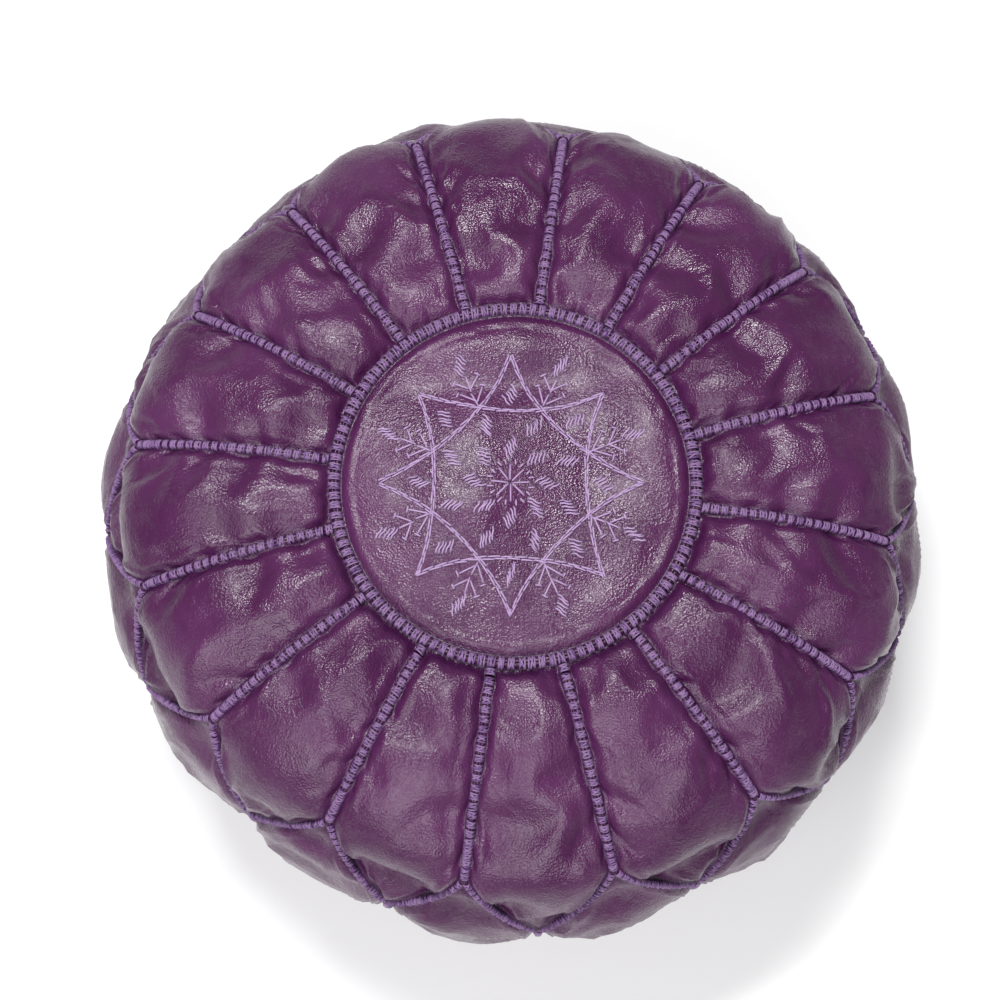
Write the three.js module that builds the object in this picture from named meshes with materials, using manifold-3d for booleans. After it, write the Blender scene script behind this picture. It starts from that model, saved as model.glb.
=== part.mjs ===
// A Moroccan leather pouf: a round cover sewn from sixteen top petals round an embroidered
// medallion, sixteen house-shaped side panels that interlock with them in a zigzag, and a base in
// two halves with a zip between them on two leather facings, round a body of stuffing.
// Millimetres, +Z up. The origin is the middle of the base, on the floor. The zip runs along X.

import * as THREE from "three";
import { mergeVertices } from "three/addons/utils/BufferGeometryUtils.js";
import Module from "manifold-3d";

const wasm = await Module();
wasm.setup();

// ---- Driving dimensions ----

const panelCount = 16; // petals round the top, and as many panels round the side
const firstSeamAngle = THREE.MathUtils.degToRad(15.1); // of one seam between two petals, from +X
const leatherThickness = 2;
const stuffingGap = 3.4; // from the leather to the stuffing
const seamGap = 1; // between the edges of two panels
const panelBulge = 4; // how far a stuffed panel's middle stands out past its seams
const bulgeFullness = 0.7; // under 1 rises steeply by the seams and is flatter in the middle
const petalColumns = 4; // facets across each panel
const petalRows = 7; // and down it

// The cover's section along a seam, as radius and height, from the medallion's edge to the base's.
const section = new THREE.SplineCurve([
  new THREE.Vector2(110, 281), // edge of the medallion
  new THREE.Vector2(152, 282),
  new THREE.Vector2(194, 273),
  new THREE.Vector2(231, 254), // where a seam between petals forks
  new THREE.Vector2(249, 226),
  new THREE.Vector2(259, 195), // the zigzag's low points
  new THREE.Vector2(262, 150), // the widest place
  new THREE.Vector2(258, 100),
  new THREE.Vector2(245, 50),
  new THREE.Vector2(222, 16), // edge of the base
]);
const forkStation = 3 / 9; // each station is a share of the section, from 0 at the medallion to 1
const lowStation = 5 / 9;
const medallionCrown = 4; // how far its middle stands above its edge

const threadRadius = 2.2; // of a whipped seam, which stands on the leather
const threadStandoff = 0.6; // clear of the leather's facets
const threadEndGap = 5; // from the end of a seam to the next seam's middle

const footRadius = 195; // the base is flat on the floor out to here
const baseInset = 2.5; // from the side panels' lower edge to the base's rim
const rimCurl = 1.8; // over 1 lifts the base off the floor gently at first, and steeply at its rim
const channelDepth = 6; // the base is drawn up this far along the zip, off the floor
const channelHalfWidth = 42;
const channelLipHalfWidth = 8; // the leather is fully drawn up from here in to the zip
const channelFullHalfLength = 150;
const channelHalfLength = 180;

const facingHalfLength = 160; // the strips of leather that the zip is sewn to
const slitHalfLength = 148; // where they start to come together past the zip's ends
const slitHalfWidth = 7; // from the zip's middle to the leather on each side
const zipHalfLength = 140;
const tapeThickness = 0.7;
const tapeInnerEdge = 3.5;
const tapeOuterEdge = 15.5;
const tapeGap = 0.3; // above the leather that it is sewn to
const toothPitch = 4.5;
const toothWidth = 1.7;
const toothHeight = 2.6;
const toothReach = 0.9; // past the zip's middle, between the other side's teeth
const spineInner = 1.4;
const spineOuter = 3.2;

const sliderLength = 16;
const sliderHalfWidth = 5;
const sliderPlate = 1;
const sliderChannelHeight = 3;
const sliderChannelHalfWidth = 3.7;
const sliderStart = -127; // the slider's middle with the zip shut
const sliderNoseRadius = 3;
const sliderWedgeRadius = 1.7;
const stopLength = 3;
const stopGap = 0.3;
const bailInnerRadius = 1.9;
const bailOuterRadius = 2.9;
const bailHalfWidth = 1.5;
const bailLeg = 1.1; // from the slider's plate to the pull's axis
const pullLength = 26;
const pullHalfWidth = 4;
const pullThickness = 1.2;
const pullEndBar = 0.8; // half the width of the bar that turns in the bail
const pullWindowLength = 5.4;
const pullWindowHalfWidth = 2.2;
const pullFloorGap = 0.4; // under its free end, which hangs down as far as the floor lets it

// ---- Sizes worked out from these ----

const panelAngle = (2 * Math.PI) / panelCount;
const stationOf = (length) => length / section.getLength();
const stationGap = stationOf(seamGap);
const tapeMiddle = channelDepth + leatherThickness + tapeGap + tapeThickness / 2;
const bottomStopStart = zipHalfLength - 2 * stopLength;
const sliderOutside = tapeMiddle - sliderChannelHeight / 2 - sliderPlate;
const pullAxisHeight = sliderOutside - bailLeg;
const pullDroop = Math.asin(
  (pullAxisHeight - pullThickness / 2 - pullFloorGap) / pullLength,
);

const leatherMaterial = new THREE.MeshStandardMaterial({ color: 0x673860, roughness: 0.42 });
const threadMaterial = new THREE.MeshStandardMaterial({ color: 0x9078a2, roughness: 0.6 });
const stuffingMaterial = new THREE.MeshStandardMaterial({ color: 0xe6e0d2, roughness: 0.95 });
const tapeMaterial = new THREE.MeshStandardMaterial({ color: 0x4a2850, roughness: 0.85 });
const metalMaterial = new THREE.MeshStandardMaterial({
  color: 0xb08d4c,
  roughness: 0.35,
  metalness: 1,
});

const pouf = new THREE.Group();

function addPart(name, geometry, material, parent = pouf) {
  const mesh = new THREE.Mesh(geometry, material);
  mesh.name = name;
  parent.add(mesh);
  return mesh;
}

const numbered = (name, index) => `${name}_${String(index + 1).padStart(2, "0")}`;

// ---- Solids ----

function solidOf(geometry) {
  const bare = new THREE.BufferGeometry();
  bare.setAttribute("position", geometry.getAttribute("position"));
  bare.setIndex(geometry.getIndex());
  const merged = mergeVertices(bare, 1e-3);
  return new wasm.Manifold(
    new wasm.Mesh({
      numProp: 3,
      vertProperties: merged.attributes.position.array,
      triVerts: new Uint32Array(merged.index.array),
    }),
  );
}

function geometryOf(solid) {
  const mesh = solid.getMesh();
  const geometry = new THREE.BufferGeometry();
  geometry.setAttribute("position", new THREE.BufferAttribute(mesh.vertProperties, 3));
  geometry.setIndex(new THREE.BufferAttribute(mesh.triVerts, 1));
  geometry.computeVertexNormals();
  return geometry;
}

const joined = (geometries) =>
  geometryOf(geometries.map(solidOf).reduce((whole, piece) => whole.add(piece)));

function boxBetween(low, high) {
  const box = new THREE.Box3(new THREE.Vector3(...low), new THREE.Vector3(...high));
  const size = box.getSize(new THREE.Vector3());
  const middle = box.getCenter(new THREE.Vector3());
  return new THREE.BoxGeometry(size.x, size.y, size.z).translate(middle.x, middle.y, middle.z);
}

// Moves every vertex of a geometry to where place(x, y, z) says.
function bent(geometry, place) {
  const position = geometry.getAttribute("position");
  for (let i = 0; i < position.count; i++) {
    const moved = place(position.getX(i), position.getY(i), position.getZ(i));
    position.setXYZ(i, moved.x, moved.y, moved.z);
  }
  geometry.computeVertexNormals();
  return geometry;
}

// ---- The cover's surface ----

// The point on the cover's seam line at an angle round it and a station down it.
function coverPoint(angle, station) {
  const { x: radius, y: height } = section.getPoint(station);
  return new THREE.Vector3(radius * Math.cos(angle), radius * Math.sin(angle), height);
}

function coverNormal(angle, station) {
  const { x: outward, y: upward } = section.getTangent(station);
  return new THREE.Vector3(-upward * Math.cos(angle), -upward * Math.sin(angle), outward);
}

// 0 at a seam between petals, and 1 halfway to the next one.
function zigzagShare(angle) {
  const turn = THREE.MathUtils.euclideanModulo((angle - firstSeamAngle) / panelAngle, 1);
  return 1 - Math.abs(2 * turn - 1);
}

const zigzagStation = (angle) =>
  THREE.MathUtils.lerp(forkStation, lowStation, zigzagShare(angle));

// A leather panel centred on an angle, from one station to another at each angle.
function coverPanel(middleAngle, firstStation, lastStation) {
  return bent(new THREE.BoxGeometry(1, 1, 1, petalColumns, petalRows, 1), (x, y, z) => {
    const down = 0.5 - y;
    const edgeAngle = middleAngle + x * panelAngle;
    const from = firstStation(edgeAngle) + stationGap;
    const to = lastStation(edgeAngle) - stationGap;
    const station = THREE.MathUtils.lerp(from, to, down);
    const radius = section.getPoint(station).x;
    const angle = middleAngle + x * (panelAngle - seamGap / radius);
    const swell = Math.cos(Math.PI * x) * Math.sin(Math.PI * down);
    const proud = panelBulge * Math.max(0, swell) ** bulgeFullness + (z - 0.5) * leatherThickness;
    return coverPoint(angle, station).addScaledVector(coverNormal(angle, station), proud);
  });
}

function petal(index) {
  const middle = firstSeamAngle + (index + 0.5) * panelAngle;
  return coverPanel(middle, () => 0, zigzagStation);
}

function sidePanel(index) {
  const middle = firstSeamAngle + index * panelAngle;
  return coverPanel(middle, zigzagStation, () => 1);
}

// ---- The medallion and the stuffing, both turned round Z ----

const [edgeRadius, edgeHeight] = section.getPoint(0).toArray();

const lathe = (profile, segments) =>
  new THREE.LatheGeometry(profile, segments).rotateX(Math.PI / 2);

function medallion() {
  const rim = edgeRadius - seamGap;
  const rings = 5;
  const segments = 32;
  const outside = Array.from({ length: rings + 1 }, (_, i) => {
    const radius = (rim * i) / rings;
    const height = edgeHeight + medallionCrown * (1 - (radius / rim) ** 2);
    return new THREE.Vector2(radius, height);
  });
  const inside = outside.map((point) => point.clone().setY(point.y - leatherThickness));
  return lathe([...inside, ...outside.reverse()], segments);
}

function stuffing() {
  const inset = leatherThickness + stuffingGap;
  const steps = 10;
  const segments = 48;
  const flank = Array.from({ length: steps + 1 }, (_, i) => {
    const point = section.getPoint(i / steps);
    const tangent = section.getTangent(i / steps);
    return new THREE.Vector2(point.x + tangent.y * inset, point.y - tangent.x * inset);
  });
  const profile = [
    new THREE.Vector2(0, edgeHeight - inset),
    ...flank,
    new THREE.Vector2(footRadius, inset),
    new THREE.Vector2(0, inset),
  ].reverse();
  return geometryOf(solidOf(lathe(profile, segments)).subtract(solidOf(zipHollow())));
}

// The room over the zip that the stuffing leaves to the drawn-up leather, the tapes and the slider.
function zipHollow() {
  const clearance = 1;
  const slope = 6;
  const roof = tapeMiddle + sliderChannelHeight / 2 + sliderPlate + clearance;
  const halfTop = tapeOuterEdge + slope;
  const halfBottom = channelHalfWidth + slope;
  const halfLength = channelHalfLength + slope;
  const outline = new THREE.Shape([
    new THREE.Vector2(-halfBottom, 0),
    new THREE.Vector2(halfBottom, 0),
    new THREE.Vector2(halfTop, roof),
    new THREE.Vector2(-halfTop, roof),
  ]);
  return new THREE.ExtrudeGeometry(outline, { depth: 2 * halfLength, bevelEnabled: false })
    .translate(0, 0, -halfLength)
    .rotateX(Math.PI / 2)
    .rotateZ(Math.PI / 2);
}

// ---- The whipped seams ----

const threadOffset = threadRadius + threadStandoff;
const tubeSides = 4;
const smallTurn = 1e-3; // either side of a place, to find which way a seam runs there

// A thread tube's vertex: (side, out) is its place in the tube's section, across and away from the
// leather.
function onThread(angle, station, tangent, side, out) {
  const normal = coverNormal(angle, station);
  const across = new THREE.Vector3().crossVectors(normal, tangent).normalize();
  return coverPoint(angle, station)
    .addScaledVector(normal, threadOffset + out)
    .addScaledVector(across, side);
}

// A straight run down the cover at one angle.
function threadDown(angle, from, to) {
  const tube = new THREE.CylinderGeometry(threadRadius, threadRadius, 1, tubeSides, petalRows);
  return bent(tube, (x, y, z) => {
    const station = THREE.MathUtils.lerp(from, to, 0.5 - y);
    const { x: outward, y: upward } = section.getTangent(station);
    const downward = new THREE.Vector3(
      outward * Math.cos(angle),
      outward * Math.sin(angle),
      upward,
    );
    return onThread(angle, station, downward, -z, x);
  });
}

// A closed run round the cover, at the station that belongs to each angle.
function threadRound(stationAt) {
  const segments = panelCount * petalColumns;
  const ring = new THREE.TorusGeometry(edgeRadius, threadRadius, tubeSides, segments);
  const step = panelAngle / petalColumns;
  return bent(ring, (x, y, z) => {
    const angle = firstSeamAngle + Math.round(Math.atan2(y, x) / step) * step;
    const side = edgeRadius - Math.hypot(x, y);
    const ahead = coverPoint(angle + smallTurn, stationAt(angle + smallTurn));
    const behind = coverPoint(angle - smallTurn, stationAt(angle - smallTurn));
    return onThread(angle, stationAt(angle), ahead.sub(behind), side, z);
  });
}

function crownSeam() {
  const spokes = Array.from({ length: panelCount }, (_, i) =>
    threadDown(
      firstSeamAngle + i * panelAngle,
      0,
      forkStation - stationOf(threadEndGap),
    ),
  );
  return joined([threadRound(() => 0), ...spokes]);
}

function shoulderSeam() {
  const drops = Array.from({ length: panelCount }, (_, i) =>
    threadDown(
      firstSeamAngle + (i + 0.5) * panelAngle,
      lowStation,
      1 - stationOf(threadEndGap + threadRadius),
    ),
  );
  return joined([threadRound(zigzagStation), ...drops]);
}

// ---- The base ----

// How far the base is drawn up off the floor at a place.
function baseHeight(x, y) {
  const { x: rimRadius, y: rimHeight } = section.getPoint(1);
  const rim = Math.max(0, (Math.hypot(x, y) - footRadius) / (rimRadius - footRadius));
  const across =
    1 - THREE.MathUtils.smoothstep(Math.abs(y), channelLipHalfWidth, channelHalfWidth);
  const along =
    1 - THREE.MathUtils.smoothstep(Math.abs(x), channelFullHalfLength, channelHalfLength);
  return rimHeight * rim ** rimCurl + channelDepth * across * along;
}

// A value read off evenly spaced stops, with straight lines between them.
function readOff(stops, share) {
  const place = share * (stops.length - 1);
  const index = Math.min(stops.length - 2, Math.floor(place));
  return THREE.MathUtils.lerp(stops[index], stops[index + 1], place - index);
}

// A point of the base's leather: layer is 0 on its outside and 1 on its inside.
const onBase = (x, y, layer) =>
  new THREE.Vector3(x, y, baseHeight(x, y) + layer * leatherThickness);

// The strip of leather beside the zip on the +Y side, from the slit to the foot of the channel.
function facing() {
  const stops = [-facingHalfLength, -slitHalfLength, slitHalfLength, facingHalfLength];
  const [columns, rows] = [12, 3];
  return bent(new THREE.BoxGeometry(1, 1, 1, columns, rows, 1), (x, y, z) => {
    const along = readOff(stops, x + 0.5);
    const shut = THREE.MathUtils.smoothstep(Math.abs(along), slitHalfLength, facingHalfLength);
    const inner = THREE.MathUtils.lerp(slitHalfWidth, seamGap / 2, shut);
    const across = THREE.MathUtils.lerp(inner, channelHalfWidth, y + 0.5);
    return onBase(along, across, z + 0.5);
  });
}

// The +Y half of the base, round the outside of its facing: from the facing's edge, and past its
// ends from the other half, out to the edge of the foot, and from there up to the rim.
function baseHalf() {
  const rimRadius = section.getPoint(1).x - baseInset;
  const innerX = facingHalfLength + seamGap;
  const innerY = channelHalfWidth + seamGap;
  const corner = Math.atan2(innerY, innerX);
  const steps = 10; // between the facing's two corners
  const turns = Array.from({ length: steps + 1 }, (_, i) =>
    THREE.MathUtils.lerp(corner, Math.PI - corner, i / steps),
  );
  const stops = [0, ...turns, Math.PI];
  const columns = 2 * (stops.length - 1);
  const bands = 2;
  const rows = 2 * bands;
  return bent(new THREE.BoxGeometry(1, 1, 1, columns, rows, 1), (x, y, z) => {
    const turn = readOff(stops, x + 0.5);
    const ray = new THREE.Vector2(Math.cos(turn), Math.sin(turn));
    const inner = Math.min(innerX / Math.abs(ray.x), innerY / ray.y);
    const place = ray.multiplyScalar(readOff([inner, footRadius, rimRadius], y + 0.5));
    return onBase(place.x, Math.max(seamGap / 2, place.y), 0.5 - z);
  });
}

// ---- The zip ----

// One side's teeth on their spine. side is 1 on +Y and -1 on -Y; the two sides' teeth alternate.
function zipTeeth(side) {
  const start = sliderStart - toothWidth / 2;
  const end = bottomStopStart - stopGap;
  const first = start + toothPitch * (side > 0 ? 0.5 : 1);
  const count = Math.floor((end - first - toothWidth) / toothPitch) + 1;
  const outline = [new THREE.Vector2(start, side * spineOuter)];
  outline.push(new THREE.Vector2(start, side * spineInner));
  for (let i = 0; i < count; i++) {
    const left = first + i * toothPitch - toothWidth / 2;
    const right = left + toothWidth;
    outline.push(new THREE.Vector2(left, side * spineInner));
    outline.push(new THREE.Vector2(left, -side * toothReach));
    outline.push(new THREE.Vector2(right, -side * toothReach));
    outline.push(new THREE.Vector2(right, side * spineInner));
  }
  outline.push(new THREE.Vector2(end, side * spineInner));
  outline.push(new THREE.Vector2(end, side * spineOuter));
  return new THREE.ExtrudeGeometry(new THREE.Shape(outline), {
    depth: toothHeight,
    bevelEnabled: false,
  }).translate(0, 0, tapeMiddle - toothHeight / 2);
}

function zipTape(side) {
  const edges = [side * tapeInnerEdge, side * tapeOuterEdge].sort((a, b) => a - b);
  return boxBetween(
    [-zipHalfLength, edges[0], tapeMiddle - tapeThickness / 2],
    [zipHalfLength, edges[1], tapeMiddle + tapeThickness / 2],
  );
}

function topStop(side) {
  const end = sliderStart - sliderLength / 2 - stopGap;
  const edges = [side * stopGap, side * spineOuter].sort((a, b) => a - b);
  return boxBetween(
    [end - stopLength, edges[0], tapeMiddle - toothHeight / 2],
    [end, edges[1], tapeMiddle + toothHeight / 2],
  );
}

function bottomStop() {
  return boxBetween(
    [bottomStopStart, -spineOuter, tapeMiddle - toothHeight / 2],
    [bottomStopStart + stopLength, spineOuter, tapeMiddle + toothHeight / 2],
  );
}

// The slider: two plates joined by a wedge at its leading end, with side walls that leave a slot
// for each tape, and a bail under it that holds the pull. Its own frame is on the zip's middle.
function slider() {
  const nose = sliderNoseRadius - sliderLength / 2; // the middle of the rounded leading end
  const tail = sliderLength / 2;
  const halfHeight = sliderChannelHeight / 2 + sliderPlate;
  const corner = sliderHalfWidth - sliderNoseRadius;
  const outline = new THREE.Shape();
  outline.moveTo(tail, sliderHalfWidth);
  outline.absarc(nose, corner, sliderNoseRadius, Math.PI / 2, Math.PI, false);
  outline.absarc(nose, -corner, sliderNoseRadius, Math.PI, 1.5 * Math.PI, false);
  outline.lineTo(tail, -sliderHalfWidth);
  const body = new THREE.ExtrudeGeometry(outline, {
    depth: 2 * halfHeight,
    bevelEnabled: false,
    curveSegments: 4,
  }).translate(0, 0, -halfHeight);
  const channel = boxBetween(
    [-sliderLength, -sliderChannelHalfWidth, -sliderChannelHeight / 2],
    [sliderLength, sliderChannelHalfWidth, sliderChannelHeight / 2],
  );
  const tapeSlot = boxBetween(
    [-sliderLength, -2 * sliderHalfWidth, -tapeThickness],
    [sliderLength, 2 * sliderHalfWidth, tapeThickness],
  );
  const wedge = new THREE.CylinderGeometry(
    sliderWedgeRadius,
    sliderWedgeRadius,
    sliderChannelHeight + sliderPlate,
    3,
  )
    .rotateX(Math.PI / 2)
    .rotateZ(Math.PI / 2)
    .translate(nose, 0, 0);
  return geometryOf(
    solidOf(body)
      .subtract(solidOf(channel))
      .subtract(solidOf(tapeSlot))
      .add(solidOf(wedge))
      .add(solidOf(bail(halfHeight))),
  );
}

// An arch under the slider's plate, with its middle on the pull's axis.
function bail(halfHeight) {
  const legTop = bailLeg + sliderPlate / 2;
  const outline = new THREE.Shape();
  outline.moveTo(bailOuterRadius, legTop);
  outline.lineTo(bailInnerRadius, legTop);
  outline.lineTo(bailInnerRadius, 0);
  outline.absarc(0, 0, bailInnerRadius, 0, Math.PI, true);
  outline.lineTo(-bailInnerRadius, legTop);
  outline.lineTo(-bailOuterRadius, legTop);
  outline.lineTo(-bailOuterRadius, 0);
  outline.absarc(0, 0, bailOuterRadius, Math.PI, 2 * Math.PI, false);
  return new THREE.ExtrudeGeometry(outline, {
    depth: 2 * bailHalfWidth,
    bevelEnabled: false,
    curveSegments: 10,
  })
    .translate(0, 0, -bailHalfWidth)
    .rotateX(Math.PI / 2)
    .translate(0, 0, -halfHeight - bailLeg);
}

// The pull: a flat tab whose end bar turns in the bail. Its own frame is on its axis, along Y.
function pull() {
  const roundStart = pullLength - pullHalfWidth;
  const outline = new THREE.Shape();
  outline.moveTo(-pullEndBar, -pullHalfWidth);
  outline.lineTo(-pullEndBar, pullHalfWidth);
  outline.absarc(roundStart, 0, pullHalfWidth, Math.PI / 2, -Math.PI / 2, true);
  outline.holes.push(
    new THREE.Path([
      new THREE.Vector2(pullEndBar, -pullWindowHalfWidth),
      new THREE.Vector2(pullWindowLength, -pullWindowHalfWidth),
      new THREE.Vector2(pullWindowLength, pullWindowHalfWidth),
      new THREE.Vector2(pullEndBar, pullWindowHalfWidth),
    ]),
  );
  return new THREE.ExtrudeGeometry(outline, {
    depth: pullThickness,
    bevelEnabled: false,
    curveSegments: 8,
  }).translate(0, 0, -pullThickness / 2);
}

// ---- The assembly ----

addPart("medallion", medallion(), leatherMaterial);
for (let i = 0; i < panelCount; i++) {
  addPart(numbered("top_petal", i), petal(i), leatherMaterial);
}
for (let i = 0; i < panelCount; i++) {
  addPart(numbered("side_panel", i), sidePanel(i), leatherMaterial);
}
addPart("base_half_back", baseHalf(), leatherMaterial);
addPart("base_half_front", baseHalf(), leatherMaterial).rotation.z = Math.PI;
addPart("zip_facing_back", facing(), leatherMaterial);
addPart("zip_facing_front", facing(), leatherMaterial).rotation.z = Math.PI;
addPart("stuffing", stuffing(), stuffingMaterial);

addPart("crown_seam", crownSeam(), threadMaterial);
addPart("shoulder_seam", shoulderSeam(), threadMaterial);
addPart("base_seam", threadRound(() => 1), threadMaterial);

addPart("zip_tape_back", zipTape(1), tapeMaterial);
addPart("zip_tape_front", zipTape(-1), tapeMaterial);
addPart("zip_teeth_back", zipTeeth(1), metalMaterial);
addPart("zip_teeth_front", zipTeeth(-1), metalMaterial);
addPart("zip_top_stop_back", topStop(1), metalMaterial);
addPart("zip_top_stop_front", topStop(-1), metalMaterial);
addPart("zip_bottom_stop", bottomStop(), metalMaterial);

const sliding = new THREE.Group();
sliding.position.set(sliderStart, 0, tapeMiddle);
pouf.add(sliding);
addPart("zip_slider", slider(), metalMaterial, sliding);
const pullPart = addPart("zip_pull", pull(), metalMaterial, sliding);
pullPart.position.z = pullAxisHeight - tapeMiddle;
pullPart.rotation.y = pullDroop;

export default pouf;
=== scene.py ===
import math

import bmesh
import bpy
import numpy as np
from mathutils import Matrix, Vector, noise


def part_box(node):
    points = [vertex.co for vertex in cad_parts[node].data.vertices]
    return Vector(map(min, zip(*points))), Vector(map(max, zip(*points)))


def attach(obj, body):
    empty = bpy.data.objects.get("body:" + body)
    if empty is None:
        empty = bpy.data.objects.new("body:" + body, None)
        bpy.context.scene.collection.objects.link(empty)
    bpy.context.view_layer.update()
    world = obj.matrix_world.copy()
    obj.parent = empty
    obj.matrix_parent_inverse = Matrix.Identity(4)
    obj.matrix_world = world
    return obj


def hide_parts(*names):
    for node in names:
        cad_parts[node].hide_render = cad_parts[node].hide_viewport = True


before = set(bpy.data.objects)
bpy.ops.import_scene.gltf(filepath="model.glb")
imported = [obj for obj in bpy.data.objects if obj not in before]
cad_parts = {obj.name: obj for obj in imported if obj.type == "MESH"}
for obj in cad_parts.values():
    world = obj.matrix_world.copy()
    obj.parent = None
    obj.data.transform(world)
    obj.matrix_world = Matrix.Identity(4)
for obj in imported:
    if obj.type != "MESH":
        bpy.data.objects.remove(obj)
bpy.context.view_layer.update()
scene = bpy.context.scene
mm = 0.001
print("frame: the packed pouf is loaded")


# Camera, floor and lights.

studio = {
    "elevation": 78.0,  # of the camera, in degrees above the floor
    "distance": 1.3,
    "lookAt": (-0.0092, 0.0173, 0.150),
    "lens": 69.3,
    "floorSize": 30.0,
    "floorColour": (0.93, 0.93, 0.93, 1),
    "floorGlow": 0.06,
    "worldColour": (0.97, 0.97, 1.0, 1),
    "worldStrength": 0.23,
}
softBoxes = {  # place, aim, width, height, watts
    "keyBox": ((-0.18, 0.58, 1.98), (0, 0, 0.25), 0.62, 0.28, 34),
    "nearBox": ((-0.4, -1.4, 1.9), (0, 0, 0.2), 2.0, 1.6, 45),
}


def aim(thing, place, target):
    thing.location = place
    thing.rotation_euler = (Vector(target) - Vector(place)).to_track_quat("-Z", "Y").to_euler()
    scene.collection.objects.link(thing)


def setUpStudio():
    camera = bpy.data.objects.new("camera", bpy.data.cameras.new("camera"))
    camera.data.lens = studio["lens"]
    rise = math.radians(studio["elevation"])
    back = Vector((0, -math.cos(rise), math.sin(rise))) * studio["distance"]
    aim(camera, Vector(studio["lookAt"]) + back, studio["lookAt"])
    scene.camera = camera
    for name, (place, target, width, height, watts) in softBoxes.items():
        lamp = bpy.data.lights.new(name, "AREA")
        lamp.shape, lamp.size, lamp.size_y, lamp.energy = "RECTANGLE", width, height, watts
        aim(bpy.data.objects.new(name, lamp), place, target)
    world = scene.world or bpy.data.worlds.new("studio")
    scene.world = world
    world.use_nodes = True
    sky = world.node_tree.nodes["Background"]
    sky.inputs["Color"].default_value = studio["worldColour"]
    sky.inputs["Strength"].default_value = studio["worldStrength"]
    scene.view_settings.view_transform = "Standard"


setUpStudio()
print("studio: camera and soft boxes set")


# Finishes. A Strand is one output of a node, so that sums on values read as arithmetic.

class Strand:
    def __init__(self, finish, socket):
        self.finish, self.socket = finish, socket

    def maths(self, operation, *values):
        return self.finish.node("ShaderNodeMath", {"operation": operation}, dict(enumerate(values)))

    def __add__(self, other):
        return self.maths("ADD", self, other)

    def __sub__(self, other):
        return self.maths("SUBTRACT", self, other)

    def __rsub__(self, other):
        return self.maths("SUBTRACT", other, self)

    def __mul__(self, other):
        return self.maths("MULTIPLY", self, other)

    __radd__, __rmul__ = __add__, __mul__


class Finish:
    def __init__(self, name):
        self.material = bpy.data.materials.new(name)
        self.material.use_nodes = True
        self.tree = self.material.node_tree
        self.tree.nodes.clear()

    def node(self, kind, settings={}, sockets={}, output=0):
        made = self.tree.nodes.new(kind)
        for name, value in settings.items():
            setattr(made, name, value)
        for name, value in sockets.items():
            if isinstance(value, Strand):
                self.tree.links.new(value.socket, made.inputs[name])
            else:
                made.inputs[name].default_value = value
        return Strand(self, made.outputs[output] if len(made.outputs) else None)

    def mix(self, share, first, second, blend="MIX"):
        settings = {"data_type": "RGBA", "blend_type": blend}
        return self.node("ShaderNodeMix", settings, {0: share, 6: first, 7: second}, 2)

    def place(self, stretch=(1, 1, 1), turn=(0, 0, 0), where=None):
        where = where or self.node("ShaderNodeTexCoord", {}, {}, "Object")
        return self.node("ShaderNodeMapping", {}, {"Vector": where, "Scale": stretch, "Rotation": turn})

    def cloud(self, size, where=None, detail=4, roughness=0.55, distortion=0.0):
        sockets = {"Scale": 1 / size, "Detail": detail, "Roughness": roughness, "Distortion": distortion}
        sockets["Vector"] = where or self.place()
        return self.node("ShaderNodeTexNoise", {}, sockets)

    def cells(self, size, where=None, feature="F1"):
        sockets = {"Scale": 1 / size, "Vector": where or self.place()}
        return self.node("ShaderNodeTexVoronoi", {"feature": feature}, sockets)

    def between(self, value, low, high):
        sockets = {"Value": value, "From Min": low, "From Max": high}
        settings = {"interpolation_type": "SMOOTHSTEP"}
        return self.node("ShaderNodeMapRange", settings, sockets)

    def mark(self, name):
        return self.node("ShaderNodeAttribute", {"attribute_name": name}, {}, "Fac")

    def surface(self, varying, fixed, height=None):
        if height is not None:
            varying["Normal"] = self.node("ShaderNodeBump", {}, {"Distance": 1.0, "Height": height})
        shader = self.node("ShaderNodeBsdfPrincipled", {}, {**fixed, **varying})
        self.node("ShaderNodeOutputMaterial", {}, {"Surface": shader})
        return self.material


leatherLook = {
    # the deep colour is painted shade, for seam grooves, welts and creases
    "deep": (0.040, 0.006, 0.043, 1),
    "plum": (0.054, 0.0080, 0.0495, 1),
    "worn": (0.088, 0.0195, 0.082, 1),
    "roughness": 0.24,
    "patchSize": 70 * mm,  # of more and less worn leather
    "streakSize": 9 * mm,
    "grainSize": 1.3 * mm,
    "grainDepth": 0.26 * mm,
    "striaeSize": 1.35 * mm,  # fine wrinkles that run one way
    "striaeDepth": 0.52 * mm,
    "creaseSize": 30 * mm,
    "creaseDepth": 0.16 * mm,
    "creaseStray": 0.02,  # how far creases bend, in metres
    "rumpleSize": 14 * mm,
    "rumpleDepth": 0.9 * mm,
}


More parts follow.
